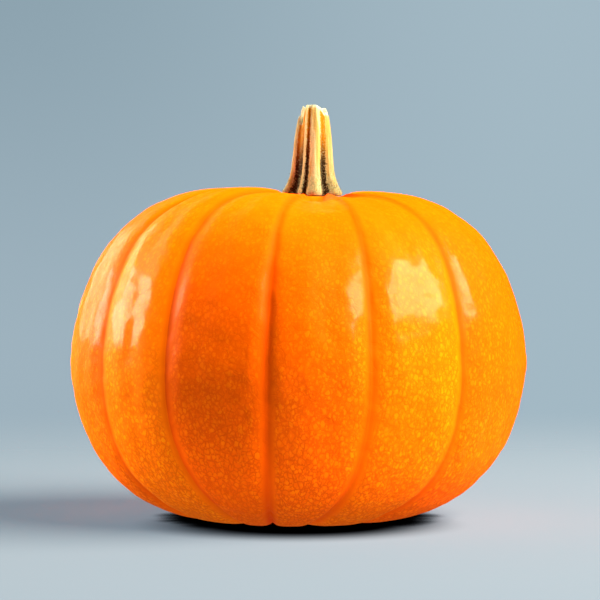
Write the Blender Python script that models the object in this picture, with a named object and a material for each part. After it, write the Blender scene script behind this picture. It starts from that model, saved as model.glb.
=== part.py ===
"""A small pie pumpkin as picked: one ribbed fruit, and the woody stem left on it.

Metres, +Z up.  The fruit rests on the flat spots worn under its lobes, at
z = 0, with the middle of the whole object's box over the origin.  Azimuths
turn from the front (-Y) towards +X.  Heights along the fruit are given as a
station: 0 at the crown, 1 at the widest ring, 2 at the blossom end.
"""

import math
from dataclasses import dataclass

import bmesh
import bpy
from mathutils import Vector

COLLECTION_NAME = "pumpkin"

# Body of the fruit
BODY_RADIUS = 0.1006        # middle to a lobe's crest at the widest ring
WAIST_HEIGHT = 0.0680       # widest ring above the rest plane
CROWN_RISE = 0.0770         # widest ring up to the crown, before it dips
BASE_DROP = 0.0695          # widest ring down to the base, before it is worn flat
OUTLINE_FLATNESS = 3.8      # a higher power gives a flatter crown and base
OUTLINE_SHOULDER = 1.8      # a higher power gives a squarer shoulder

# Crown and blossom end, where the grooves meet
CROWN_SHIFT = 0.0070        # the stem grows this far to +X of the middle
CROWN_DIP = 0.0044
CROWN_DIP_RADIUS = 0.026
SEAT_RADIUS = 0.0165        # level seat of the skin under the stem's foot
SEAT_BLEND = 0.0060
BASE_SHIFT = -0.0100        # the blossom end lies this far to +X of the middle
BASE_HOLLOW = 0.0060
BASE_HOLLOW_RADIUS = 0.014

# Lobes and the grooves between them
FIRST_GROOVE = math.radians(-7.3)
GROOVE_DEPTHS = (           # station on the fruit, depth there
    (0.06, 0.0),
    (0.28, 0.0038),
    (0.80, 0.0030),
    (1.30, 0.0015),
    (1.65, 0.0030),
    (1.95, 0.0),
)
LOBE_ROUNDNESS = 2.7        # a higher power gives a flatter lobe and a tighter groove
GROOVE_ROUNDING = 0.06      # rounding of the groove's floor, as a share of half a lobe
COLUMNS_PER_LOBE = 8
COLUMN_CROWDING = 0.6       # how far the columns gather towards the grooves
FRUIT_RINGS = 38

# Stem
STEM_CLEARANCE = 0.0003     # gap between the stem's foot and its seat
STEM_HEIGHT = 0.0402
STEM_OUTLINE = (            # share of the height, radius to a ridge there
    (0.00, 0.0140),
    (0.05, 0.0142),
    (0.15, 0.0117),
    (0.23, 0.0104),
    (0.32, 0.0098),
    (0.49, 0.0090),
    (0.65, 0.0086),
    (0.82, 0.0078),
    (0.95, 0.0069),
    (1.00, 0.0060),
)
STEM_RIDGES = tuple(math.radians(angle) for angle in (-72, -2, 58, 134, 206))
FURROW_SHARE = 0.36         # depth of a furrow at the foot, as a share of the radius
FURROW_FADE = 0.40          # share of that depth lost on the way to the cut
STEM_TWIST = math.radians(6)
CUT_SLOPE = 0.16            # the cut end falls towards +X
STEM_COLUMNS = 50
STEM_RINGS = 26
FOOT_RINGS = 3              # rings that cross under the foot
CUT_RINGS = 3               # rings that cross the cut end


@dataclass(frozen=True)
class Lobe:
    """One lobe, and the groove on its -azimuth side."""

    width: float            # degrees round the widest ring
    groove: float = 1.0     # depth of its groove against GROOVE_DEPTHS
    rise: float = 0.0       # extra height of its crest at the crown
    crown_drift: float = 0.0  # degrees that its groove turns on the way to the crown
    base_drift: float = 0.0   # degrees that its groove turns on the way to the base


LOBES = (
    Lobe(25.1, groove=1.1, rise=-0.0052),
    Lobe(25.8, rise=-0.0034, crown_drift=1.5, base_drift=-3.5),
    Lobe(36.0, groove=0.75, rise=-0.0012, crown_drift=4.0),
    Lobe(28.0, groove=0.7, rise=-0.0006, base_drift=3.0),
    Lobe(27.0, rise=0.0004, crown_drift=-2.0),
    Lobe(29.5, groove=0.8, rise=-0.0030, base_drift=-2.0),
    Lobe(27.0, groove=1.1, rise=-0.0042, crown_drift=2.5),
    Lobe(29.0, groove=0.7, rise=-0.0024, base_drift=2.5),
    Lobe(26.6, rise=-0.0004, crown_drift=-2.0),
    Lobe(30.0, groove=0.8, rise=0.0002),
    Lobe(27.9, rise=0.0004, crown_drift=-3.0),
    Lobe(22.3, groove=0.5, rise=0.0004, crown_drift=-4.0, base_drift=-4.5),
    Lobe(25.8, groove=0.6, rise=-0.0020, crown_drift=-1.0, base_drift=8.0),
)
RISE_STATIONS = ((0.03, 0.0), (0.18, 1.0), (0.45, 1.0), (1.00, 0.0))
CROWN_DRIFT_STATIONS = ((0.20, 1.0), (1.00, 0.0))
BASE_DRIFT_STATIONS = ((1.10, 0.0), (1.80, 1.0))
GROOVES_EVEN_OUT = ((1.20, 1.0), (1.60, 0.0))   # share of the grooves' differences that is left


def ease(low: float, high: float, value: float) -> float:
    """Smooth step from 0 at low to 1 at high."""
    share = min(max((value - low) / (high - low), 0.0), 1.0)
    return share * share * (3.0 - 2.0 * share)


def between(stations: tuple, place: float, eased: bool = True) -> float:
    """Value at a place, from each (place, value) pair to the next."""
    if place <= stations[0][0]:
        return stations[0][1]
    for (low, first), (high, second) in zip(stations, stations[1:]):
        if place <= high:
            share = ease(low, high, place) if eased else (place - low) / (high - low)
            return first + (second - first) * share
    return stations[-1][1]


def groove_azimuths(station: float) -> list:
    """Azimuth of every groove at a station, with the first one repeated at the end."""
    crown = between(CROWN_DRIFT_STATIONS, station)
    base = between(BASE_DRIFT_STATIONS, station)
    azimuths = []
    start = FIRST_GROOVE
    full_turn = sum(lobe.width for lobe in LOBES)
    for lobe in LOBES:
        drift = crown * lobe.crown_drift + base * lobe.base_drift
        azimuths.append(start + math.radians(drift))
        start += math.tau * lobe.width / full_turn
    azimuths.append(azimuths[0] + math.tau)
    return azimuths


def lobe_arch(share: float) -> float:
    """Height of a lobe's cross-section, 0 in the groove and 1 at the crest."""
    span = 1.0 - abs(2.0 * share - 1.0)
    softened = math.hypot(span, GROOVE_ROUNDING) - GROOVE_ROUNDING
    softened /= math.hypot(1.0, GROOVE_ROUNDING) - GROOVE_ROUNDING
    return 1.0 - (1.0 - min(softened, 1.0)) ** LOBE_ROUNDNESS


def body_height(radius: float, upper: bool) -> tuple:
    """Height of the smooth body over a radius, and its outward normal there."""
    share = min(radius / BODY_RADIUS, 1.0)
    level = max(1.0 - share ** OUTLINE_FLATNESS, 0.0) ** (1.0 / OUTLINE_SHOULDER)
    reach = CROWN_RISE if upper else -BASE_DROP
    outward = OUTLINE_FLATNESS * share ** (OUTLINE_FLATNESS - 1.0) / BODY_RADIUS
    upward = OUTLINE_SHOULDER * level ** (OUTLINE_SHOULDER - 1.0) / reach
    size = math.hypot(outward, upward)
    return WAIST_HEIGHT + reach * level, outward / size, upward / size


def seat_height() -> float:
    """Height of the level seat that the stem's foot stands on."""
    top, _, _ = body_height(CROWN_SHIFT, upper=True)
    return top - CROWN_DIP


def skin_point(lobe_index: int, share: float, station: float) -> Vector:
    """Point of the skin, by lobe, share of the way across it, and station."""
    upper = station < 1.0
    azimuths = groove_azimuths(station)
    azimuth = azimuths[lobe_index] * (1.0 - share) + azimuths[lobe_index + 1] * share
    polar = station * math.pi / 2.0
    ring = BODY_RADIUS * math.sin(polar)
    lean = (CROWN_SHIFT if upper else BASE_SHIFT) * (1.0 - math.sin(polar))
    point = Vector((ring * math.sin(azimuth) + lean, -ring * math.cos(azimuth), 0.0))
    point.z, outward, upward = body_height(point.length, upper)

    arch = lobe_arch(share)
    grooves = LOBES[lobe_index].groove, LOBES[(lobe_index + 1) % len(LOBES)].groove
    groove = grooves[0] * (1.0 - share) + grooves[1] * share
    groove = 1.0 + (groove - 1.0) * between(GROOVES_EVEN_OUT, station)
    sunk = between(GROOVE_DEPTHS, station) * groove * (1.0 - arch)
    away = Vector((point.x, point.y, 0.0))
    if away.length > 0.0:
        away.normalize()
    point -= (away * outward + Vector((0.0, 0.0, upward))) * sunk
    point.z += LOBES[lobe_index].rise * arch * between(RISE_STATIONS, station)

    if upper:
        point.z -= CROWN_DIP * math.exp(-((ring / CROWN_DIP_RADIUS) ** 2))
        seated = ease(SEAT_RADIUS + SEAT_BLEND, SEAT_RADIUS, ring)
        point.z += (seat_height() - point.z) * seated
    else:
        point.z += BASE_HOLLOW * math.exp(-((ring / BASE_HOLLOW_RADIUS) ** 2))
        point.z = max(point.z, 0.0)
    return point


def stem_point(azimuth: float, share: float, inset: float) -> Vector:
    """Point of the stem, by azimuth, share of the height, and share of the radius."""
    turns = [*STEM_RIDGES, STEM_RIDGES[0] + math.tau]
    azimuth = (azimuth - turns[0]) % math.tau + turns[0]
    side = max(index for index in range(len(STEM_RIDGES)) if turns[index] <= azimuth)
    across = (azimuth - turns[side]) / (turns[side + 1] - turns[side])
    furrow = math.sin(math.pi * across) ** 1.6
    furrow *= FURROW_SHARE * (1.0 - FURROW_FADE * share)
    radius = between(STEM_OUTLINE, share, eased=False) * (1.0 - furrow) * inset
    azimuth += STEM_TWIST * share
    point = Vector((radius * math.sin(azimuth), -radius * math.cos(azimuth), 0.0))
    point.z = share * (STEM_HEIGHT - CUT_SLOPE * point.x)
    return point


def skin_material(name: str, color: tuple, roughness: float) -> bpy.types.Material:
    """Principled material of one plain colour."""
    material = bpy.data.materials.new(name)
    material.use_nodes = True
    shader = material.node_tree.nodes["Principled BSDF"]
    shader.inputs["Base Color"].default_value = (*color, 1.0)
    shader.inputs["Roughness"].default_value = roughness
    shader.inputs["Metallic"].default_value = 0.0
    return material


def shaped_sphere(name: str, columns: int, rings: int, place, material) -> bpy.types.Object:
    """Closed round piece: a UV sphere whose every vertex is put where place says.

    place(column, ring) takes whole numbers: the columns go round the sphere,
    and the rings run from 0 at its top pole to rings at its bottom pole.
    """
    mesh = bpy.data.meshes.new(name)
    shape = bmesh.new()
    bmesh.ops.create_uvsphere(shape, u_segments=columns, v_segments=rings, radius=1.0)
    for vertex in shape.verts:
        turn = math.atan2(vertex.co.x, -vertex.co.y) / math.tau
        column = round(turn * columns) % columns
        ring = round(math.acos(min(max(vertex.co.z, -1.0), 1.0)) / math.pi * rings)
        vertex.co = place(column, ring)
    bmesh.ops.recalc_face_normals(shape, faces=shape.faces)
    for face in shape.faces:
        face.smooth = True
    shape.to_mesh(mesh)
    shape.free()
    mesh.materials.append(material)
    return bpy.data.objects.new(name, mesh)


def make_fruit() -> bpy.types.Object:
    """The whole fruit, skin to core, as one solid."""
    columns = COLUMNS_PER_LOBE * len(LOBES)

    def place(column: int, ring: int) -> Vector:
        even = column % COLUMNS_PER_LOBE / COLUMNS_PER_LOBE
        share = even - COLUMN_CROWDING * math.sin(math.tau * even) / math.tau
        return skin_point(column // COLUMNS_PER_LOBE, share, 2.0 * ring / FRUIT_RINGS)

    rind = skin_material("pumpkin_rind", (0.88, 0.19, 0.004), roughness=0.38)
    return shaped_sphere("fruit", columns, FRUIT_RINGS, place, rind)


def make_stem() -> bpy.types.Object:
    """The ridged stem, flared at its foot and cut across its top."""
    side_rings = STEM_RINGS - FOOT_RINGS - CUT_RINGS
    foot = Vector((CROWN_SHIFT, 0.0, seat_height() + STEM_CLEARANCE))

    def place(column: int, ring: int) -> Vector:
        from_top = min(ring / CUT_RINGS, 1.0)
        from_foot = min((STEM_RINGS - ring) / FOOT_RINGS, 1.0)
        share = 1.0 - (ring - CUT_RINGS) / side_rings
        azimuth = math.tau * column / STEM_COLUMNS
        share = min(max(share, 0.0), 1.0)
        return foot + stem_point(azimuth, share, inset=min(from_top, from_foot))

    wood = skin_material("dry_stem", (0.50, 0.34, 0.13), roughness=0.80)
    return shaped_sphere("stem", STEM_COLUMNS, STEM_RINGS, place, wood)


def centre_on_origin(pieces: list) -> None:
    """Slide every mesh level, so the middle of their common box is over the origin."""
    points = [vertex.co for piece in pieces for vertex in piece.data.vertices]
    for axis in (0, 1):
        places = [point[axis] for point in points]
        middle = (min(places) + max(places)) / 2.0
        for point in points:
            point[axis] -= middle


def main() -> None:
    """Clear the scene and build the pumpkin."""
    for leftover in list(bpy.data.objects):
        bpy.data.objects.remove(leftover)
    collection = bpy.data.collections.new(COLLECTION_NAME)
    bpy.context.scene.collection.children.link(collection)
    pieces = [make_fruit(), make_stem()]
    centre_on_origin(pieces)
    for piece in pieces:
        collection.objects.link(piece)


main()
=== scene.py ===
"""The looks of a small pie pumpkin: mottled rind, dry ridged stem, and a plain studio.

Metres, +Z up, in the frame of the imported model.  The fruit's outside is grown
by a Geometry Nodes tree from a short list of lobes, the stem is modelled ring
by ring, and a second tree sets the bristles round the stem's foot.  Azimuths
turn from the front (-Y) towards +X.  Heights along the fruit are given as a
station: 0 at the crown, 1 at the widest ring, 2 at the blossom end.
"""

import logging
import math
from dataclasses import asdict, dataclass
from enum import Enum
from typing import Callable, Iterable, Optional, Union

import bmesh
import bpy
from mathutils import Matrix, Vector, noise


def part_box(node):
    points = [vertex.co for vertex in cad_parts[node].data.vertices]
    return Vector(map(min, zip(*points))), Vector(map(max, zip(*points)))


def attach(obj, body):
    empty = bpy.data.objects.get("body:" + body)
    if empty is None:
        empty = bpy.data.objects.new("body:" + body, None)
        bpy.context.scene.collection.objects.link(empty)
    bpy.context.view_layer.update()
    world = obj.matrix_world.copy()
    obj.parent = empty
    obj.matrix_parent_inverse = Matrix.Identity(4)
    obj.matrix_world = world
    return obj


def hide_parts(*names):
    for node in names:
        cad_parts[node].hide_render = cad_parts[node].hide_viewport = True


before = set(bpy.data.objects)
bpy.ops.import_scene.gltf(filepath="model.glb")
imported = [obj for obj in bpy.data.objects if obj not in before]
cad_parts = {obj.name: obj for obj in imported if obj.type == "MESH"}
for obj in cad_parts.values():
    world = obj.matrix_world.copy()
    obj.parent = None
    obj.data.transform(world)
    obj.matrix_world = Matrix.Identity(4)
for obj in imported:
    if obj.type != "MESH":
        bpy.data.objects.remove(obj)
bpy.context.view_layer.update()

LOG = logging.getLogger("pumpkin")
BODY = "root"


# ---- node trees

def written(operation: str, swapped: bool = False) -> Callable[["Field", "Value"], "Field"]:
    """Make an operator of Field.

    Args:
        operation: The Math node's operation.
        swapped: Whether the other value comes first.

    Returns:
        The method, which joins the field and the other value by a node.
    """
    def method(field: "Field", other: "Value") -> "Field":
        """Join a field and another value."""
        return field.wiring.math(operation, *((other, field) if swapped else (field, other)))

    return method


class Field:
    """One varying value of a node tree, written in formulas like a number."""

    def __init__(self, wiring: "Wiring", socket: bpy.types.NodeSocket) -> None:
        """Wrap an output socket of a tree."""
        self.wiring = wiring
        self.socket = socket

    __add__ = __radd__ = written("ADD")
    __sub__ = written("SUBTRACT")
    __rsub__ = written("SUBTRACT", swapped=True)
    __mul__ = __rmul__ = written("MULTIPLY")
    __truediv__ = written("DIVIDE")
    __rtruediv__ = written("DIVIDE", swapped=True)
    __pow__ = written("POWER")


Value = Union[Field, bpy.types.NodeSocket, float, int, str, tuple]


class Wiring:
    """Adds nodes to one tree and joins them, for shaders and geometry alike."""

    COLUMN_STEP = 180.0
    ROWS = 12

    def __init__(self, tree: bpy.types.NodeTree) -> None:
        """Work on a tree, which may already hold nodes."""
        self.tree = tree

    def node(self, kind: str, **settings: object) -> bpy.types.Node:
        """Add a node.

        Args:
            kind: The node's type in Blender.
            settings: Properties to set on it.

        Returns:
            The new node, placed clear of the ones before it.
        """
        count = len(self.tree.nodes)
        node = self.tree.nodes.new(kind)
        node.location = (self.COLUMN_STEP * (count // self.ROWS), -self.COLUMN_STEP * (count % self.ROWS))
        for name, value in settings.items():
            setattr(node, name, value)
        return node

    def feed(self, socket: bpy.types.NodeSocket, value: Value) -> None:
        """Give an input socket its value.

        Args:
            socket: The input.
            value: What is joined to it, or set on it when it is a plain value.
        """
        if isinstance(value, Field):
            value = value.socket
        if isinstance(value, bpy.types.NodeSocket):
            self.tree.links.new(value, socket)
        else:
            socket.default_value = value

    def use(
        self, kind: str, output: Union[str, int] = 0, settings: Optional[dict] = None, **inputs: Value
    ) -> Field:
        """Add a node, feed its named inputs, and give one of its outputs.

        Args:
            kind: The node's type in Blender.
            output: The output to give, by name or by place.
            settings: Properties to set on the node.
            inputs: Input names, with _ for a space, and what feeds them.

        Returns:
            The chosen output.
        """
        node = self.node(kind, **(settings or {}))
        for name, value in inputs.items():
            self.feed(node.inputs[name.replace("_", " ")], value)
        return Field(self, node.outputs[output])

    def math(self, operation: str, *values: Value) -> Field:
        """One Math node.

        Args:
            operation: Blender's name for what it does.
            values: Up to three values.

        Returns:
            The node's result.
        """
        node = self.node("ShaderNodeMath", operation=operation)
        for socket, value in zip(node.inputs, values):
            self.feed(socket, value)
        return Field(self, node.outputs[0])

    def ease(self, value: Value, low: float, high: float, start: float = 0.0, end: float = 1.0) -> Field:
        """Smooth step of a value.

        Args:
            value: What is eased.
            low: Where the step starts.
            high: Where the step ends.
            start: Result below low.
            end: Result above high.

        Returns:
            The eased value.
        """
        node = self.node("ShaderNodeMapRange", interpolation_type="SMOOTHSTEP")
        for name, number in (("From Min", low), ("From Max", high), ("To Min", start), ("To Max", end)):
            self.feed(node.inputs[name], number)
        self.feed(node.inputs["Value"], value)
        return Field(self, node.outputs["Result"])

    def stations(self, place: Value, pairs: Iterable[tuple]) -> Field:
        """A value that changes along the fruit or the stem.

        Args:
            place: Where the value is looked up.
            pairs: Each place with its value, in order.

        Returns:
            The value, eased from each pair to the next.
        """
        pairs = list(pairs)
        total: Value = pairs[0][1]
        for (low, first), (high, second) in zip(pairs, pairs[1:]):
            total = self.ease(place, low, high, 0.0, second - first) + total
        return total

    def choose(self, share: Value, first: Value, second: Value) -> Field:
        """The first value at share 0, the second at share 1."""
        return self.math("MULTIPLY_ADD", share, self.math("SUBTRACT", second, first), first)

    def vector(self, x: Value = 0.0, y: Value = 0.0, z: Value = 0.0) -> Field:
        """A vector from three values."""
        return self.use("ShaderNodeCombineXYZ", X=x, Y=y, Z=z)

    def parts(self, vector: Value) -> tuple:
        """Take a vector apart.

        Args:
            vector: The vector.

        Returns:
            Its three values.
        """
        node = self.node("ShaderNodeSeparateXYZ")
        self.feed(node.inputs[0], vector)
        return tuple(Field(self, output) for output in node.outputs)

    def vector_math(self, operation: str, *values: Value) -> Field:
        """One Vector Math node.

        Args:
            operation: Blender's name for what it does.
            values: Its vectors; a scale's number goes last.

        Returns:
            The node's result.
        """
        node = self.node("ShaderNodeVectorMath", operation=operation)
        sockets = [node.inputs[0], node.inputs["Scale"]] if operation == "SCALE" else node.inputs
        for socket, value in zip(sockets, values):
            self.feed(socket, value)
        return Field(self, node.outputs[0])

    def noise(self, place: Value, scale: float, detail: float = 2.0, output: str = "Fac") -> Field:
        """Soft random values over a place; scale counts waves in a metre."""
        return self.use("ShaderNodeTexNoise", output, Vector=place, Scale=scale, Detail=detail)

    def attribute(self, name: str) -> Field:
        """A number that a shaded mesh carries."""
        return self.use("ShaderNodeAttribute", "Fac", {"attribute_name": name})

    def blend(self, share: Value, first: Value, second: Value, mode: str = "MIX") -> Field:
        """One colour laid over another.

        Args:
            share: How much of the second colour shows.
            first: The colour below.
            second: The colour laid over it.
            mode: Blender's name for how they mix.

        Returns:
            The mixed colour.
        """
        node = self.node("ShaderNodeMix", data_type="RGBA", blend_type=mode)
        sockets = [socket for socket in node.inputs if socket.enabled]
        for socket, value in zip(sockets, (share, first, second)):
            self.feed(socket, value)
        output = next(socket for socket in node.outputs if socket.enabled)
        return Field(self, output)


def opaque(color: tuple) -> tuple:
    """A colour of three numbers with full alpha."""
    return (*color, 1.0)


class Growth:
    """A Geometry Nodes tree with named inputs, used once and then made plain."""

    SOCKETS = {int: "NodeSocketInt", float: "NodeSocketFloat", bpy.types.Material: "NodeSocketMaterial"}

    def __init__(self, name: str, sizes: dict, material: bpy.types.Material) -> None:
        """Make the tree with its inputs and its output.

        Args:
            name: Name of the tree.
            sizes: Inputs by name, with _ for a space, and their values.
            material: What the finished mesh is made of.
        """
        tree = bpy.data.node_groups.new(name, "GeometryNodeTree")
        tree.is_modifier = True
        tree.interface.new_socket("Geometry", in_out="INPUT", socket_type="NodeSocketGeometry")
        tree.interface.new_socket("Geometry", in_out="OUTPUT", socket_type="NodeSocketGeometry")
        self.values = {key.replace("_", " ").title(): value for key, value in sizes.items()}
        self.values["Material"] = material
        for title, value in self.values.items():
            kind = self.SOCKETS[type(value)]
            tree.interface.new_socket(title, in_out="INPUT", socket_type=kind)
        self.tree = tree
        self.wiring = Wiring(tree)
        self.inputs = self.wiring.node("NodeGroupInput")

    def get(self, title: str) -> Field:
        """One of the tree's inputs."""
        return Field(self.wiring, self.inputs.outputs[title])

    def finish(self, geometry: Field) -> None:
        """End the tree: realize, smooth, give the material, and put it out.

        Args:
            geometry: What the tree has built.
        """
        wiring = self.wiring
        real = wiring.use("GeometryNodeRealizeInstances", Geometry=geometry)
        smooth = wiring.node("GeometryNodeSetShadeSmooth")
        wiring.feed(smooth.inputs[0], real)
        material = self.get("Material")
        dressed = wiring.use("GeometryNodeSetMaterial", Geometry=smooth.outputs[0], Material=material)
        wiring.feed(wiring.node("NodeGroupOutput").inputs["Geometry"], dressed)

    def run(self, host: bpy.types.Object, name: str) -> bpy.types.Object:
        """Run the tree on a host object.

        Args:
            host: Object whose mesh goes into the tree; it is removed afterwards.
            name: Name of the finished piece.

        Returns:
            A new plain object that holds the result.
        """
        modifier = host.modifiers.new(self.tree.name, "NODES")
        modifier.node_group = self.tree
        for item in self.tree.interface.items_tree:
            if item.in_out == "INPUT" and item.name in self.values:
                modifier[item.identifier] = self.values[item.name]
        bpy.context.view_layer.update()
        evaluated = host.evaluated_get(bpy.context.evaluated_depsgraph_get())
        mesh = bpy.data.meshes.new_from_object(evaluated)
        mesh.name = name
        host.modifiers.remove(modifier)
        bpy.data.objects.remove(host)
        return link_piece(name, mesh)


def link_piece(name: str, mesh: bpy.types.Mesh) -> bpy.types.Object:
    """Put a finished mesh in the scene, at the origin.

    Args:
        name: Name of the piece.
        mesh: Its mesh.

    Returns:
        The piece.
    """
    piece = bpy.data.objects.new(name, mesh)
    bpy.context.scene.collection.objects.link(piece)
    return piece


def blank_material(name: str) -> tuple:
    """Start a material.

    Args:
        name: Name of the material.

    Returns:
        The material, its wiring, its shader, and the place on its object.
    """
    material = bpy.data.materials.new(name)
    material.use_nodes = True
    wiring = Wiring(material.node_tree)
    shader = material.node_tree.nodes["Principled BSDF"]
    return material, wiring, shader, wiring.use("ShaderNodeTexCoord", "Object")


def report(piece: bpy.types.Object) -> None:
    """Log a finished piece and its size."""
    size = ", ".join(f"{1000.0 * side:.1f}" for side in piece.dimensions)
    LOG.info("%s: %d faces, %s mm", piece.name, len(piece.data.polygons), size)


# ---- shared effects

class ShaderEffect:
    """A shader node group that gives colours, masks or heights for materials to use."""

    def __init__(self, name: str, inputs: dict, outputs: Iterable[str]) -> None:
        """Make the group's sockets.

        Args:
            name: Name of the group.
            inputs: Each input's number, or None where it is a vector.
            outputs: Names of the outputs, which are all numbers.
        """
        tree = bpy.data.node_groups.new(name, "ShaderNodeTree")
        for title, value in inputs.items():
            kind = "NodeSocketVector" if value is None else "NodeSocketFloat"
            socket = tree.interface.new_socket(name=title, in_out="INPUT", socket_type=kind)
            if value is not None:
                socket.default_value = value
        for title in outputs:
            tree.interface.new_socket(name=title, in_out="OUTPUT", socket_type="NodeSocketFloat")
        self.tree = tree
        self.wiring = Wiring(tree)
        self.inputs = self.wiring.node("NodeGroupInput")
        self.outputs = self.wiring.node("NodeGroupOutput")

    def get(self, title: str) -> Field:
        """One of the group's inputs."""
        return Field(self.wiring, self.inputs.outputs[title])

    def give(self, title: str, value: Value) -> None:
        """Join one of the group's outputs."""
        self.wiring.feed(self.outputs.inputs[title], value)

    def place(self, wiring: Wiring, **inputs: Value) -> dict:
        """Put the group in a material.

        Args:
            wiring: The material's tree.
            inputs: Input names, with _ for a space, and what feeds them.

        Returns:
            The group's outputs by name.
        """
        node = wiring.node("ShaderNodeGroup", node_tree=self.tree)
        for name, value in inputs.items():
            wiring.feed(node.inputs[name.replace("_", " ")], value)
        return {output.name: Field(wiring, output) for output in node.outputs}


class FleckEffect(ShaderEffect):
    """Irregular pale flecks parted by a darker net, like the cells of a rind."""

    DRIFT = 1.1               # how far, and how often in a cell, the cells are pulled out of shape
    SMALLEST = 0.24           # reach of the smallest spot, in cells
    SPREAD = 0.22             # how much further the largest reaches

    def __init__(self) -> None:
        """Build the group once."""
        super().__init__(
            "flecks",
            {"Place": None, "Scale": 400.0, "Share": 0.6, "Net": 0.2},
            ("Mask", "Net", "Tone"),
        )
        wiring = self.wiring
        place, scale = self.get("Place"), self.get("Scale")
        drift = wiring.use("ShaderNodeTexNoise", "Color", Vector=place, Scale=scale * self.DRIFT, Detail=4.0)
        offset = wiring.vector_math("SUBTRACT", drift, (0.5, 0.5, 0.5))
        offset = wiring.vector_math("SCALE", offset, self.DRIFT / scale)
        warped = wiring.vector_math("ADD", place, offset)
        edge = wiring.use(
            "ShaderNodeTexVoronoi", "Distance", {"feature": "DISTANCE_TO_EDGE"}, Vector=warped, Scale=scale
        )
        cell = wiring.node("ShaderNodeTexVoronoi", feature="F1")
        wiring.feed(cell.inputs["Vector"], warped)
        wiring.feed(cell.inputs["Scale"], scale)
        tone, pick, size = wiring.parts(cell.outputs["Color"])
        reach = size * self.SPREAD + self.SMALLEST
        round_spot = wiring.ease(reach - cell.outputs["Distance"], -0.08, 0.12)
        shown = wiring.ease(self.get("Share") - pick, -0.05, 0.05)
        self.give("Mask", round_spot * shown)
        self.give("Net", wiring.ease(wiring.math("DIVIDE", edge, self.get("Net")), 1.0, 0.1))
        self.give("Tone", tone)


# ---- finishes

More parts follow.
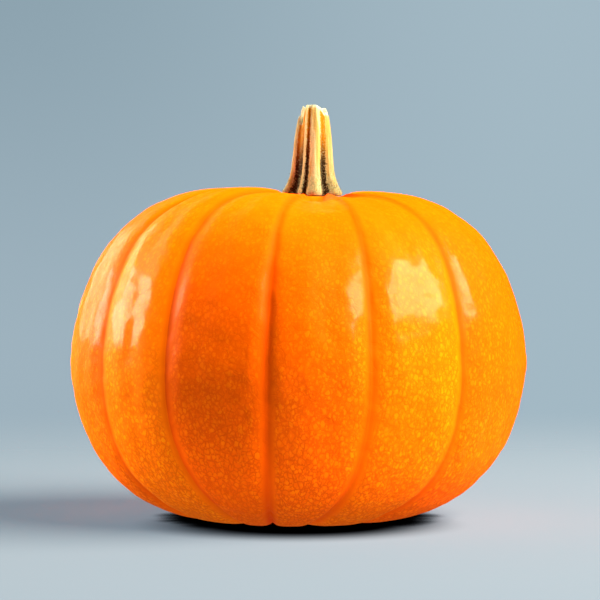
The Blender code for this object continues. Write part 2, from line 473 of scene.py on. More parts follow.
@dataclass(frozen=True)
class RindFinish:
    """Waxy orange rind, redder in its grooves, with fine paler flecks."""

    deep: tuple = (0.640, 0.056, 0.0002)     # the darker net low on the fruit
    body: tuple = (0.850, 0.100, 0.0002)     # the rind between flecks
    crown: tuple = (0.880, 0.104, 0.0002)    # the same, towards the crown
    fleck: tuple = (0.930, 0.160, 0.0010)
    groove: tuple = (0.740, 0.066, 0.0002)
    scar: tuple = (0.075, 0.048, 0.022)
    wax: float = 0.30                        # weight of the glossy coat
    roughness: float = 0.13
    fleck_scale: float = 480.0
    fine_fleck_scale: float = 1000.0
    patch_scale: float = 28.0
    ragged_scale: float = 260.0
    wrinkle_scale: float = 90.0
    pore_scale: float = 900.0
    crease_scale: float = 170.0
    wrinkle_height: float = 0.00042
    crease_height: float = 0.00030
    fold_depth: float = 0.00005
    fine_height: float = 0.00002             # of pores, flecks and the net
    coat_ior: float = 1.45
    specular: float = 0.02

    CLEAR_OF_GROOVE = (0.0016, 0.0042)       # distances from a groove, in metres
    IN_GROOVE = (0.0030, 0.0004)
    GLOSSY_BY_GROOVE = (0.0010, 0.0050)
    CROWN = (0.95, 0.25)                     # stations from here on
    SCAR = (1.952, 1.962)
    CROWN_GLOSS = (0.12, 0.30)
    GLOSS_ENDS = (1.08, 0.80)
    FLECKED = ((0.15, 0.25), (0.45, 0.42), (0.70, 0.60), (1.00, 0.85), (1.35, 1.0), (1.95, 1.0))
    # stations where each lobe's tone and its painted shade and light show
    LOBE_TONE_AND_SHADE_SHOWN = ((0.35, 0.0), (0.80, 1.0), (1.05, 1.0), (1.32, 0.0))
    PALENESS = ((1.05, 1.0), (1.35, 1.20), (1.65, 1.04))

    def make(self, flecks: FleckEffect) -> bpy.types.Material:
        """Build the rind's material.

        Args:
            flecks: The shared fleck effect.

        Returns:
            The finished material.
        """
        material, wiring, shader, place = blank_material("rind")
        gap, station, tone = (wiring.attribute(name) for name in ("groove_gap", "station", "lobe_tone_and_shade"))

        drawn = self.drawn_out(wiring, place)
        coarse = flecks.place(wiring, Place=drawn, Scale=self.fleck_scale, Share=0.88, Net=0.20)
        fine = flecks.place(wiring, Place=drawn, Scale=self.fine_fleck_scale, Share=0.75, Net=0.22)
        patch = wiring.noise(place, self.patch_scale, 2.0)
        ragged = wiring.noise(place, self.ragged_scale, 2.0)
        clear = wiring.ease(gap + (ragged - 0.5) * 0.0030, *self.CLEAR_OF_GROOVE)
        low = wiring.stations(station, self.FLECKED)
        spread = wiring.ease(patch, 0.25, 0.55, 0.60, 1.0) * clear * low
        speckle = wiring.math("MAXIMUM", coarse["Mask"], fine["Mask"] * 0.75) * spread
        net = coarse["Net"] * spread

        high = wiring.ease(station, *self.CROWN)
        color = wiring.blend(high, opaque(self.body), opaque(self.crown))
        color = wiring.blend(net * wiring.ease(station, 1.0, 1.4, 0.45, 0.70), color, opaque(self.deep))
        color = wiring.blend(speckle * (coarse["Tone"] * 0.5 + 0.45), color, opaque(self.fleck))
        in_groove = wiring.ease(gap, *self.IN_GROOVE)
        color = wiring.blend(in_groove * 0.80, color, opaque(self.groove))
        # Painted shade and light: each lobe is darkened, or made paler and yellower, by its tone, set to how
        # the lights fall on it.
        color = wiring.blend(1.0, color, self.shade(wiring, place, station, tone), "MULTIPLY")
        scar = wiring.ease(station, *self.SCAR)
        color = wiring.blend(scar, color, opaque(self.scar))
        wiring.feed(shader.inputs["Base Color"], color)

        crease = wiring.use(
            "ShaderNodeTexNoise", "Fac", Vector=place, Scale=self.crease_scale, Detail=1.0, Distortion=0.8
        )
        fold = wiring.ease(wiring.math("ABSOLUTE", crease - 0.5), 0.060, 0.0)
        gloss = wiring.ease(wiring.noise(place, 60.0, 3.0), 0.25, 0.75, 0.85, 1.10)
        gloss = gloss * wiring.ease(gap, *self.GLOSSY_BY_GROOVE) * (1.0 - fold * 0.45)
        gloss = gloss * wiring.ease(station, *self.CROWN_GLOSS, 0.35, 1.0) * (1.0 - scar)
        fading = station + (wiring.noise(drawn, 120.0, 3.0) - 0.5) * 0.45
        gloss = gloss * wiring.ease(fading, *self.GLOSS_ENDS, 0.20, 1.0)
        gloss = gloss * wiring.ease(tone, 0.0, 0.3, 0.4, 1.0)
        wiring.feed(shader.inputs["Coat Weight"], gloss * self.wax)
        shader.inputs["Coat Roughness"].default_value = self.roughness
        shader.inputs["Coat IOR"].default_value = self.coat_ior
        wiring.feed(shader.inputs["Roughness"], wiring.ease(ragged, 0.3, 0.7, 0.50, 0.62))
        shader.inputs["Specular IOR Level"].default_value = self.specular
        wiring.feed(shader.inputs["Normal"], self.relief(wiring, place, crease, fold, speckle, net))
        return material

    def drawn_out(self, wiring: Wiring, place: Field) -> Field:
        """Draw room out along the grooves, more so towards the poles.

        Args:
            wiring: The material's tree.
            place: The place on the fruit.

        Returns:
            The place in the drawn-out room.
        """
        x, y, z = wiring.parts(place)
        from_axis = wiring.math("SQRT", x * x + y * y + 0.0004)
        squeeze = (0.1 / from_axis) ** 0.5
        return wiring.vector(x * squeeze, y * squeeze, z * 0.8)

    def shade(self, wiring: Wiring, place: Field, station: Field, tone: Field) -> Field:
        """Vary the rind by clouds, each lobe's tone with its painted shade and light, and a paler base.

        Args:
            wiring: The material's tree.
            place: The place on the fruit.
            station: The station there.
            tone: The lobe's tone, partly its own colour and partly painted shade and light.

        Returns:
            The colour that the rind is multiplied by.
        """
        cloud = wiring.noise(place, 16.0, 3.0)
        # Painted shade and light over each lobe's own tone: lower tones darken a lobe, higher tones lighten
        # it and make it yellower.
        shown = wiring.stations(station, self.LOBE_TONE_AND_SHADE_SHOWN)
        lobes = wiring.choose(shown, 1.0, wiring.ease(tone, 0.0, 1.0, 0.76, 1.06))
        level = wiring.ease(cloud, 0.30, 0.70, 0.93, 1.05) * lobes * wiring.stations(station, self.PALENESS)
        yellow = level * (wiring.ease(tone, 0.30, 1.0, 0.0, 0.42) * wiring.ease(station, 0.50, 0.90) + 1.0)
        return wiring.use("ShaderNodeCombineColor", Red=level, Green=yellow, Blue=level)

    def relief(
        self, wiring: Wiring, place: Field, crease: Field, fold: Field, speckle: Field, net: Field
    ) -> Field:
        """Raise wrinkles, folds, fine pores, and flecks a little proud.

        Args:
            wiring: The material's tree.
            place: The place on the fruit.
            crease: Height of the long creases.
            fold: 1 in a fold between them.
            speckle: 1 on a fleck.
            net: 1 on the net between flecks.

        Returns:
            The bumped normal.
        """
        wrinkle = wiring.noise(place, self.wrinkle_scale, 2.0)
        pores = wiring.noise(place, self.pore_scale, 1.0)
        height = wrinkle * self.wrinkle_height + crease * self.crease_height
        height = height + pores * self.fine_height - fold * self.fold_depth
        height = height + speckle * self.fine_height - net * self.fine_height
        return wiring.use("ShaderNodeBump", "Normal", Strength=0.6, Distance=1.0, Height=height)


@dataclass(frozen=True)
class StemFinish:
    """Dry, woody stem: straw on its ridges, dark in its furrows, cream where it is cut."""

    ridge: tuple = (0.320, 0.205, 0.080)
    ridge_pale: tuple = (0.500, 0.365, 0.205)
    ridge_gold: tuple = (0.410, 0.220, 0.040)
    furrow_foot: tuple = (0.016, 0.007, 0.002)
    furrow_top: tuple = (0.360, 0.125, 0.001)
    speck: tuple = (0.270, 0.215, 0.120)
    foot_grey: tuple = (0.170, 0.165, 0.090)
    cut: tuple = (0.500, 0.440, 0.330)
    roughness: float = 0.78
    specular: float = 0.15
    fibre_scale: float = 1500.0
    streak_scale: float = 420.0
    grit_scale: float = 1300.0
    fibre_height: float = 0.00020
    grit_height: float = 0.00022
    dot_height: float = 0.00012

    def make(self, flecks: FleckEffect) -> bpy.types.Material:
        """Build the stem's material.

        Args:
            flecks: The shared fleck effect.

        Returns:
            The finished material.
        """
        material, wiring, shader, place = blank_material("dry_stem")
        facts = ("furrow", "rise", "cut_end", "pale")
        furrow, rise, end, pale = (wiring.attribute(name) for name in facts)
        along = wiring.use(
            "ShaderNodeMapping", "Vector", {"vector_type": "POINT"}, Vector=place, Scale=(1.0, 1.0, 0.06)
        )
        fibre = wiring.noise(along, self.fibre_scale, 3.0)
        streak = wiring.noise(along, self.streak_scale, 2.0)
        grit = wiring.noise(place, self.grit_scale, 2.0)
        dots = flecks.place(wiring, Place=place, Scale=1500.0, Share=0.62, Net=0.25)

        bleached = pale * 1.3 + (fibre - 0.5) * 1.6
        ridge = wiring.blend(wiring.ease(bleached, 0.2, 1.1), opaque(self.ridge), opaque(self.ridge_pale))
        golden = wiring.ease(streak + (1.0 - pale) * 0.06, 0.53, 0.64)
        ridge = wiring.blend(golden * 0.75, ridge, opaque(self.ridge_gold))
        low = wiring.ease(rise, 0.45, 0.06)
        ridge = wiring.blend(low * wiring.ease(grit, 0.38, 0.54) * 0.85, ridge, opaque(self.foot_grey))
        top = wiring.ease(rise, 0.35, 0.80)
        hollow = wiring.blend(top, opaque(self.furrow_foot), opaque(self.furrow_top))
        sprinkled = wiring.ease(rise, 0.95, 0.30, 0.25, 0.85)
        hollow = wiring.blend(dots["Mask"] * sprinkled, hollow, opaque(self.speck))
        depth = furrow + (fibre - 0.5) * 0.25 + (grit - 0.5) * 0.65
        color = wiring.blend(wiring.ease(depth, 0.40, 0.58), ridge, hollow)
        pits = wiring.ease(grit, 0.42, 0.34) * low
        color = wiring.blend(pits * 0.8, color, opaque(self.furrow_foot))
        rim = wiring.math("MAXIMUM", wiring.ease(end, 0.35, 0.70), wiring.ease(rise, 0.955, 0.985))
        color = wiring.blend(rim, color, opaque(self.cut))
        wiring.feed(shader.inputs["Base Color"], color)
        wiring.feed(shader.inputs["Roughness"], self.roughness + (grit - 0.5) * 0.16)
        shader.inputs["Specular IOR Level"].default_value = self.specular
        height = fibre * self.fibre_height + grit * self.grit_height + dots["Mask"] * self.dot_height
        bump = wiring.use("ShaderNodeBump", "Normal", Strength=0.9, Distance=1.0, Height=height)
        wiring.feed(shader.inputs["Normal"], bump)
        return material


@dataclass(frozen=True)
class BristleFinish:
    """Pale, dry hairs."""

    root: tuple = (0.090, 0.070, 0.034)
    tip: tuple = (0.270, 0.235, 0.150)
    roughness: float = 0.65

    def make(self) -> bpy.types.Material:
        """Build the hairs' material, paler towards their tips.

        Returns:
            The finished material.
        """
        material, wiring, shader, place = blank_material("bristle")
        along = wiring.attribute("along")
        tint = wiring.noise(place, 900.0, 2.0)
        color = wiring.blend(along * 0.7 + tint * 0.3, opaque(self.root), opaque(self.tip))
        wiring.feed(shader.inputs["Base Color"], color)
        wiring.feed(shader.inputs["Roughness"], self.roughness + (tint - 0.5) * 0.2)
        return material


# ---- fruit

@dataclass(frozen=True)
class Lobe:
    """One lobe, and the groove on its -azimuth side."""

    width: float              # degrees round the widest ring
    groove: float = 1.0       # depth of its groove against the fruit's usual depths
    rise: float = 0.0         # extra height of its crest at the crown
    crown_drift: float = 0.0  # degrees that its groove turns on the way to the crown
    base_drift: float = 0.0   # degrees that its groove turns on the way to the base
    # tone is partly the lobe's own colour and partly painted shade and light for how the lights fall on it
    tone: float = 0.5         # 0 for a darker lobe, 1 for a paler one


# Each lobe's tone is partly its own colour and partly painted shade and light: lower where the lights leave a
# lobe dark, higher where they strike it.
LOBES = (
    Lobe(25.1, groove=1.1, rise=-0.0052, tone=0.45),
    Lobe(25.8, rise=-0.0034, crown_drift=1.5, base_drift=-3.5, tone=0.65),
    Lobe(36.0, groove=0.75, rise=-0.0012, crown_drift=4.0, tone=0.35),
    Lobe(28.0, groove=0.7, rise=-0.0006, base_drift=3.0, tone=0.35),
    Lobe(27.0, rise=0.0004, crown_drift=-2.0, tone=0.75),
    Lobe(29.5, groove=0.8, rise=-0.0030, base_drift=-2.0, tone=0.50),
    Lobe(27.0, groove=1.1, rise=-0.0042, crown_drift=2.5, tone=0.30),
    Lobe(29.0, groove=0.7, rise=-0.0024, base_drift=2.5, tone=0.65),
    Lobe(26.6, rise=-0.0004, crown_drift=-2.0, tone=0.45),
    Lobe(30.0, groove=0.8, rise=0.0002, tone=0.80),
    Lobe(27.9, rise=0.0004, crown_drift=-3.0, tone=0.55),
    Lobe(22.3, groove=0.5, rise=0.0004, crown_drift=-4.0, base_drift=-4.5, tone=0.90),
    Lobe(25.8, groove=0.6, rise=-0.0020, crown_drift=-1.0, base_drift=8.0, tone=0.0),
)
FIRST_GROOVE = math.radians(-7.3)


@dataclass(frozen=True)
class RindShape:
    """Sizes of the fruit's outside; each is an input of its tree."""

    body_radius: float
    waist_height: float
    crown_rise: float
    base_drop: float
    outline_flatness: float = 3.8
    outline_shoulder: float = 1.8
    crown_shift: float = 0.0070
    crown_dip: float = 0.0044
    crown_dip_radius: float = 0.026
    seat_radius: float = 0.0165
    seat_blend: float = 0.0060
    base_shift: float = -0.0100
    base_hollow: float = 0.0060
    base_hollow_radius: float = 0.014
    lobe_roundness: float = 4.6
    groove_rounding: float = 0.045
    rib_depth: float = 0.00035
    unevenness: float = 0.0006
    ripple: float = 0.00030
    columns_per_lobe: int = 40
    column_crowding: float = 0.6
    rings: int = 180
    seed: int = 7

    @classmethod
    def from_box(cls, low: Vector, high: Vector) -> "RindShape":
        """The shape whose outside fills the CAD fruit's box.

        Args:
            low: The box's lowest corner.
            high: The box's highest corner.

        Returns:
            The fitted shape.
        """
        width = high[0] - low[0]
        height = high[2] - low[2]
        return cls(
            body_radius=0.5013 * width,
            waist_height=0.4717 * height,
            crown_rise=0.5342 * height,
            base_drop=0.4821 * height,
        )


class Fruit:
    """The whole fruit: lobes, grooves, crown and blossom end in one closed skin."""

    NAME = "rind"
    GROOVE_DEPTHS = ((0.06, 0.0), (0.28, 0.0038), (0.80, 0.0030), (1.30, 0.0015), (1.65, 0.0030), (1.95, 0.0))
    RISE_STATIONS = ((0.03, 0.0), (0.18, 1.0), (0.45, 1.0), (1.00, 0.0))
    CROWN_DRIFT = ((0.20, 1.0), (1.00, 0.0))
    BASE_DRIFT = ((1.10, 0.0), (1.80, 1.0))
    GROOVES_EVEN_OUT = ((1.20, 1.0), (1.60, 0.0))
    RIBS = 2.5                # fine ribs across a lobe
    RIB_SHIFT = 2.4           # radians that they move from one lobe to the next
    NUDGE = 0.01              # share of a column that keeps its number from rounding down

    def __init__(self, material: bpy.types.Material) -> None:
        """Take the fruit's place and size from the frame.

        Args:
            material: The rind's material.
        """
        self.low, self.high = (Vector(corner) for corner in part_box("fruit"))
        self.shape = RindShape.from_box(self.low, self.high)
        self.growth = Growth("pumpkin_rind", asdict(self.shape), material)

    def build(self) -> bpy.types.Object:
        """Grow the skin, centre it on the CAD fruit, and hand it to the frame.

        Returns:
            The finished piece.
        """
        self.wire()
        piece = self.growth.run(self.lobe_ring(), self.NAME)
        points = [vertex.co for vertex in piece.data.vertices]
        for axis in (0, 1):
            places = [point[axis] for point in points]
            shift = (self.low[axis] + self.high[axis] - min(places) - max(places)) / 2.0
            for point in points:
                point[axis] += shift
        piece.data.update()
        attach(piece, BODY)
        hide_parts("fruit")
        return piece

    def lobe_ring(self) -> bpy.types.Object:
        """Start the tree's host, with one point for each groove.

        Returns:
            The host, whose points carry their lobes' facts.
        """
        facts = []
        azimuth = FIRST_GROOVE
        full_turn = sum(lobe.width for lobe in LOBES)
        for lobe in LOBES:
            drifts = math.radians(lobe.crown_drift), math.radians(lobe.base_drift)
            facts.append((azimuth, *drifts, lobe.groove, lobe.rise, lobe.tone))
            azimuth += math.tau * lobe.width / full_turn
        facts.append((facts[0][0] + math.tau, *facts[0][1:]))
        mesh = bpy.data.meshes.new("lobe_ring")
        mesh.from_pydata([(0.0, 0.0, 0.0)] * len(facts), [], [])
        names = ("azimuth", "crown_drift", "base_drift", "groove", "rise", "tone")
        for name, column in zip(names, zip(*facts)):
            mesh.attributes.new(name, "FLOAT", "POINT").data.foreach_set("value", column)
        return link_piece("lobe_ring", mesh)

    def wire(self) -> None:
        """Write the skin's formula into the tree."""
        wiring, get = self.growth.wiring, self.growth.get
        columns = get("Columns Per Lobe") * len(LOBES)
        sphere = wiring.use("GeometryNodeMeshUVSphere", "Mesh", Segments=columns, Rings=get("Rings"))
        along = wiring.use("GeometryNodeInputIndex") - 1.0
        ring = wiring.math("FLOOR", along / columns) + 1.0
        column = wiring.math("MODULO", along, columns)
        station = ring * 2.0 / get("Rings")
        upper = wiring.math("LESS_THAN", station, 1.0)

        lobe = wiring.math("FLOOR", column / get("Columns Per Lobe"))
        count = get("Columns Per Lobe")
        even = wiring.math("FRACT", (column + self.NUDGE) / count) - self.NUDGE / count
        crowd = wiring.math("SINE", even * math.tau) / math.tau
        share = even - crowd * get("Column Crowding")
        start = self.groove_azimuth(lobe, station)
        end = self.groove_azimuth(lobe + 1.0, station)
        azimuth = wiring.choose(share, start, end)

        turn = wiring.math("SINE", station * (math.pi / 2.0))
        from_pole = turn * get("Body Radius")
        lean = wiring.choose(upper, get("Base Shift"), get("Crown Shift")) * (1.0 - turn)
        x = from_pole * wiring.math("SINE", azimuth) + lean
        y = from_pole * wiring.math("COSINE", azimuth) * -1.0
        radius = wiring.math("MAXIMUM", wiring.math("SQRT", x * x + y * y), 1e-6)

        reach_share = wiring.math("MINIMUM", radius / get("Body Radius"), 1.0)
        flatness, shoulder = get("Outline Flatness"), get("Outline Shoulder")
        level = wiring.math("MAXIMUM", 1.0 - reach_share ** flatness, 0.0) ** (1.0 / shoulder)
        reach = wiring.choose(upper, get("Base Drop") * -1.0, get("Crown Rise"))
        outward = flatness * reach_share ** (flatness - 1.0) / get("Body Radius")
        upward = shoulder * level ** (shoulder - 1.0) / reach
        slope = wiring.math("SQRT", outward * outward + upward * upward)

        span = 1.0 - wiring.math("ABSOLUTE", share * 2.0 - 1.0)
        arch = self.lobe_arch(span)
        rib = wiring.math("COSINE", share * (math.tau * self.RIBS) + lobe * self.RIB_SHIFT) * 0.5 - 0.5
        rib = rib * get("Rib Depth") * arch * wiring.ease(station, 1.5, 0.9)
        grooves = self.fact("groove", lobe), self.fact("groove", lobe + 1.0)
        uneven = (wiring.choose(share, *grooves) - 1.0) * wiring.stations(station, self.GROOVES_EVEN_OUT)
        sunk = wiring.stations(station, self.GROOVE_DEPTHS) * (uneven + 1.0) * (1.0 - arch) - rib
        sideways = outward / slope * sunk / radius
        rise = self.fact("rise", lobe) * arch * wiring.stations(station, self.RISE_STATIONS)
        z = get("Waist Height") + reach * level - upward / slope * sunk + rise
        z = self.crown(z, from_pole, upper)
        z = self.base(z, from_pole, upper)
        place = wiring.vector(x - x * sideways, y - y * sideways, z)

        skin = wiring.use("GeometryNodeSetPosition", Geometry=sphere, Position=place)
        skin = self.uneven(skin)
        gap = span * from_pole * (end - start) * 0.5
        facts = {"station": station, "groove_gap": gap, "lobe_tone_and_shade": self.fact("tone", lobe)}
        for name, value in facts.items():
            skin = wiring.use("GeometryNodeStoreNamedAttribute", Geometry=skin, Name=name, Value=value)
        self.growth.finish(skin)

    def fact(self, name: str, lobe: Field) -> Field:
        """One of the lobes' facts.

        Args:
            name: Name of the fact.
            lobe: The lobe's number.

        Returns:
            The fact.
        """
        wiring = self.growth.wiring
        value = wiring.use("GeometryNodeInputNamedAttribute", "Attribute", {"data_type": "FLOAT"}, Name=name)
        return wiring.use(
            "GeometryNodeSampleIndex", "Value", Geometry=self.growth.get("Geometry"), Value=value, Index=lobe
        )

    def groove_azimuth(self, lobe: Field, station: Field) -> Field:
        """Place a groove, with its drift.

        Args:
            lobe: The number of the groove's lobe.
            station: The station.

        Returns:
            The groove's azimuth there.
        """
        wiring = self.growth.wiring
        crown = wiring.stations(station, self.CROWN_DRIFT) * self.fact("crown_drift", lobe)
        base = wiring.stations(station, self.BASE_DRIFT) * self.fact("base_drift", lobe)
        return self.fact("azimuth", lobe) + crown + base

    def lobe_arch(self, span: Field) -> Field:
        """Draw a lobe's cross-section.

        Args:
            span: 0 in the groove and 1 at the crest, in proportion to the angle.

        Returns:
            The height, 0 in the groove and 1 at the crest.
        """
        wiring, rounding = self.growth.wiring, self.growth.get("Groove Rounding")
        squared = rounding * rounding
        softened = wiring.math("SQRT", span * span + squared) - rounding
        softened = softened / (wiring.math("SQRT", squared + 1.0) - rounding)
        hollow = 1.0 - wiring.math("MINIMUM", softened, 1.0)
        return 1.0 - hollow ** self.growth.get("Lobe Roundness")

    def bell(self, distance: Field, radius: str) -> Field:
        """1 at no distance, and smoothly less beyond a radius."""
        ratio = distance / self.growth.get(radius)
        return self.growth.wiring.math("EXPONENT", ratio * ratio * -1.0)

    def crown(self, z: Field, from_pole: Field, upper: Field) -> Field:
        """Dip the crown and level the stem's seat.

        Args:
            z: The height before this.
            from_pole: Distance along the radius from the pole.
            upper: 1 above the widest ring, 0 below.

        Returns:
            The new height.
        """
        wiring, get = self.growth.wiring, self.growth.get
        top = 1.0 - (get("Crown Shift") / get("Body Radius")) ** get("Outline Flatness")
        top = get("Waist Height") + get("Crown Rise") * top ** (1.0 / get("Outline Shoulder"))
        seat = top - get("Crown Dip")
        dipped = z - self.bell(from_pole, "Crown Dip Radius") * get("Crown Dip")
        inward = (get("Seat Radius") + get("Seat Blend") - from_pole) / get("Seat Blend")
        seated = wiring.ease(inward, 0.0, 1.0) * upper
        return wiring.choose(seated, wiring.choose(upper, z, dipped), seat)

    def base(self, z: Field, from_pole: Field, upper: Field) -> Field:
        """Hollow the blossom end and wear the lowest points flat.

        Args:
            z: The height before this.
            from_pole: Distance along the radius from the pole.
            upper: 1 above the widest ring, 0 below.

        Returns:
            The new height.
        """
        wiring, get = self.growth.wiring, self.growth.get
        hollow = self.bell(from_pole, "Base Hollow Radius") * get("Base Hollow")
        raised = z + hollow * (1.0 - upper)
        return wiring.math("MAXIMUM", raised, 0.0)

    def uneven(self, skin: Field) -> Field:
        """Sink the skin a little, here and there, away from where it rests or is seated.

        Args:
            skin: The smooth skin.

        Returns:
            The skin with its unevenness.
        """
        wiring, get = self.growth.wiring, self.growth.get
        place = wiring.use("GeometryNodeInputPosition")
        normal = wiring.use("GeometryNodeInputNormal")
        _, _, height = wiring.parts(place)
        seeded = wiring.vector_math("ADD", place, wiring.vector(get("Seed"), 0.0, 0.0))
        wave = wiring.noise(seeded, 22.0, 2.0) * 0.6 + wiring.noise(seeded, 55.0, 2.0) * 0.4
        free = wiring.ease(height, 0.0005, 0.0060) * wiring.ease(height, self.high.z, 0.93 * self.high.z)
        ripple = wiring.ease(wiring.noise(seeded, 120.0, 1.0), 0.30, 0.70)
        depth = wiring.ease(wave, 0.35, 0.65) * get("Unevenness") + ripple * get("Ripple")
        offset = wiring.vector_math("SCALE", normal, depth * free * -1.0)
        return wiring.use("GeometryNodeSetPosition", Geometry=skin, Offset=offset)


# ---- stem

@dataclass(frozen=True)
class Ridge:
    """One ridge of the stem."""

    azimuth: float            # degrees at the foot
    width: float              # degrees from its crest to where it has fallen away
    prominence: float = 1.0   # share of the full radius that its crest reaches
    broken: float = 0.0       # share of the height torn off its top
    tear: float = 30.0        # degrees from its crest to where the tear ends
    pale: float = 0.5         # 0 for golden wood, 1 for bleached wood


class Stem:
    """The ridged stem, flared at its foot, with a rough cut end and a torn ridge."""

    NAME = "stem_wood"
    RIDGES = (
        Ridge(-84, 10, broken=0.18, tear=34, pale=0.6),
        Ridge(-32, 7, prominence=0.70, pale=0.8),
        Ridge(2, 21, pale=1.0),
        Ridge(61, 25, broken=0.05, tear=30, pale=0.35),
        Ridge(134, 24, pale=0.4),
        Ridge(206, 22, broken=0.03, tear=26, pale=0.5),
    )
    OUTLINE = (
        (0.00, 0.0136), (0.03, 0.0139), (0.06, 0.0135), (0.10, 0.0125), (0.15, 0.0116), (0.23, 0.0104),
        (0.32, 0.0097), (0.49, 0.0090), (0.65, 0.0085), (0.82, 0.0078), (0.95, 0.0070), (1.00, 0.0062),
    )
    COLUMNS = 260
    SIDE_RINGS = 150
    FOOT_RINGS = 8
    CUT_RINGS = 14
    RINGS = FOOT_RINGS + SIDE_RINGS + CUT_RINGS
    HEIGHT_SHARE = 0.972      # of the CAD stem's height, before the cut end's slope
    FURROW_SHARE = 0.40       # depth of a furrow at the foot, as a share of the radius
    FURROW_FADE = 0.62
    TWIST = math.radians(6)
    LEAN = 0.0002             # how far the cut end leans to +X
    CUT_SLOPE = 0.16
    CUT_HOLLOW = 0.0016
    FIBRE_HEIGHT = 0.00022
    CUT_LEVELS = 0.0004       # unevenness of the cut end
    RAGGED_SHARE = 0.012      # of the height that the cut end's rim loses here and there
    CREST_POWER = 2.4         # higher for squarer ridges
    TEAR_POWER = 6            # higher for a sharper end of a tear
    SMALL = 0.001             # weight of each ridge's colour everywhere

    def __init__(self, material: bpy.types.Material) -> None:
        """Take the stem's place from the frame.

        Args:
            material: The stem's material.
        """
        self.low, self.high = (Vector(corner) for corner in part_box("stem"))
        self.material = material
        self.height = (self.high.z - self.low.z) * self.HEIGHT_SHARE
        middle = (self.low + self.high) / 2.0
        self.foot = Vector((middle.x, middle.y, self.low.z))

    def build(self) -> bpy.types.Object:
        """Model the stem ring by ring and hand it to the frame.

        Returns:
            The finished piece.
        """
        mesh = bpy.data.meshes.new(self.NAME)
        grid = [(ring, column) for ring in range(1, self.RINGS) for column in range(self.COLUMNS)]
        points, facts = zip(*(self.grid_point(*spot) for spot in [(0, 0), *grid, (self.RINGS, 0)]))
        mesh.from_pydata(points, [], self.faces(len(points) - 1))
        for name, column in zip(("furrow", "rise", "cut_end", "pale"), zip(*facts)):
            mesh.attributes.new(name, "FLOAT", "POINT").data.foreach_set("value", column)
        mesh.polygons.foreach_set("use_smooth", [True] * len(mesh.polygons))
        mesh.materials.append(self.material)
        piece = link_piece(self.NAME, mesh)
        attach(piece, BODY)
        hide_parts("stem")
        return piece

    def grid_point(self, ring: int, column: int) -> tuple:
        """Place a point of the grid.

        Args:
            ring: Its ring, from 0 in the middle of the cut end to the last in the middle of the foot.
            column: Its column, counted from the front.

        Returns:
            The point, and its values of furrow, rise, cut_end and pale.
        """
        share = min(max(1.0 - (ring - self.CUT_RINGS) / self.SIDE_RINGS, 0.0), 1.0)
        inset = min(ring / self.CUT_RINGS, (self.RINGS - ring) / self.FOOT_RINGS, 1.0)
        place, valley, pale = self.point(math.tau * column / self.COLUMNS, share, inset)
        return place, (valley, share, float(share == 1.0 and inset < 1.0), pale)

    def faces(self, last: int) -> list:
        """Join the grid's points.

        Args:
            last: The number of the point in the middle of the foot.

        Returns:
            A fan at each end and a band of quads between each ring and the next.
        """
        columns = self.COLUMNS
        found = []
        for first in range(1, last, columns):
            for column in range(columns):
                here, beside = first + column, first + (column + 1) % columns
                if first == 1:
                    found.append((0, here, beside))
                if first + columns < last:
                    found.append((here, here + columns, beside + columns, beside))
                else:
                    found.append((last, beside, here))
        return found

    def outline(self, share: float) -> float:
        """Look up the outline.

        Args:
            share: Share of the height.

        Returns:
            The radius to a ridge there.
        """
        for (low, first), (high, second) in zip(self.OUTLINE, self.OUTLINE[1:]):
            if share <= high:
                return first + (second - first) * (share - low) / (high - low)
        return self.OUTLINE[-1][1]

    def ridge_height(self, azimuth: float) -> tuple:
        """Look up the ridges.

        Args:
            azimuth: The azimuth at the foot, in radians.

        Returns:
            How far it stands out of the furrows, the share torn off, and how pale it is.
        """
        crest = torn = pale = weight = 0.0
        for ridge in self.RIDGES:
            away = (azimuth - math.radians(ridge.azimuth) + math.pi) % math.tau - math.pi
            bump = math.exp(-abs(away / math.radians(ridge.width)) ** self.CREST_POWER)
            crest = max(crest, bump * ridge.prominence)
            edge = math.exp(-abs(away / math.radians(ridge.tear)) ** self.TEAR_POWER)
            torn = max(torn, ridge.broken * edge)
            pale += (bump + self.SMALL) * ridge.pale
            weight += bump + self.SMALL
        return crest, torn, pale / weight

    def point(self, azimuth: float, share: float, inset: float) -> tuple:
        """Place a point of the surface.

        Args:
            azimuth: Its azimuth at the foot, in radians.
            share: Its share of the height.
            inset: 1 on the side, and less on the foot and the cut end, where 0 is the middle.

        Returns:
            The point, how deep in a furrow it lies, and how pale its wood is.
        """
        crest, torn, pale = self.ridge_height(azimuth)
        valley = 1.0 - crest
        depth = self.FURROW_SHARE * (1.0 - self.FURROW_FADE * share)
        radius = self.outline(share) * (1.0 - depth * valley)
        spot = Vector((math.sin(azimuth), -math.cos(azimuth), 0.0))
        fibre = noise.noise(spot * 9.0 + Vector((0.0, 0.0, share * 1.6)))
        fibre += 0.5 * noise.noise(spot * 21.0 + Vector((3.0, 0.0, share * 2.5)))
        radius += self.FIBRE_HEIGHT * fibre
        ragged = noise.noise(spot * 2.6 + Vector((7.0, 1.0, 0.0)))
        limit = 1.0 - torn * (1.0 + 0.5 * noise.noise(spot * 6.0)) - self.RAGGED_SHARE * (1.0 + ragged)
        turned = azimuth + self.TWIST * share
        x = inset * radius * math.sin(turned)
        y = -inset * radius * math.cos(turned)
        z = share * limit * (self.height - self.CUT_SLOPE * x)
        if inset < 1.0 and share == 1.0:
            level = noise.noise(Vector((900.0 * x, 900.0 * y, 4.0)))
            z -= self.CUT_HOLLOW * (1.0 - inset ** 3) - self.CUT_LEVELS * level * (1.0 - inset)
        return self.foot + Vector((x + self.LEAN * share, y, z)), valley, pale


